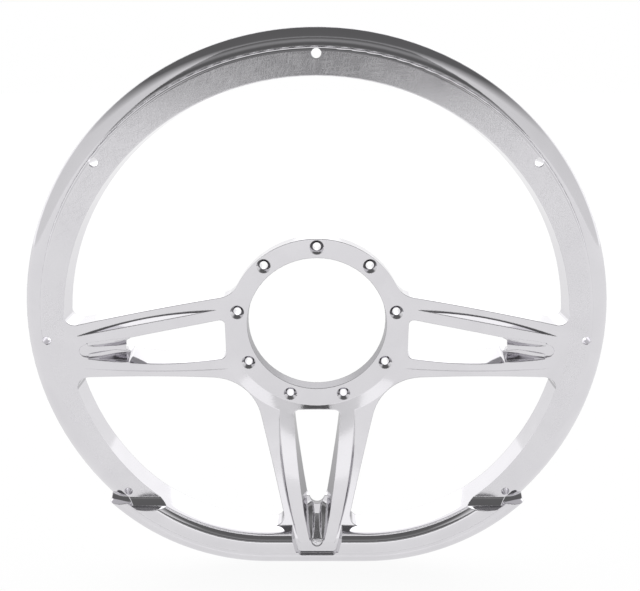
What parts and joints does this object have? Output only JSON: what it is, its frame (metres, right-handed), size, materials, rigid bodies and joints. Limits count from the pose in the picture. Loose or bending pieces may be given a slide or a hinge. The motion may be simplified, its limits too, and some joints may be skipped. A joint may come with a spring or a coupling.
{
  "type": "steering wheel",
  "caption": "Flat-bottomed dished steering wheel body in polished metal: split spokes, countersunk hub ring, empty seat for a half-wrap grip and a bare raised lower grip.",
  "frame": {"origin": "centre of the hub's rear mounting face, on the wheel's turning axis", "axes": "+Y along the turning axis, from the wheel's face back towards its column; +Z to the top of the wheel, so the flat is at the bottom; +X to the right for a driver facing the wheel"},
  "size_m": [0.356, 0.0448, 0.3422],
  "materials": {
    "polished_aluminium": "polished, with light machining marks on the grip seat"
  },
  "bodies": {
    "root": {"wheel": "polished_aluminium"}
  },
  "joints": []
}
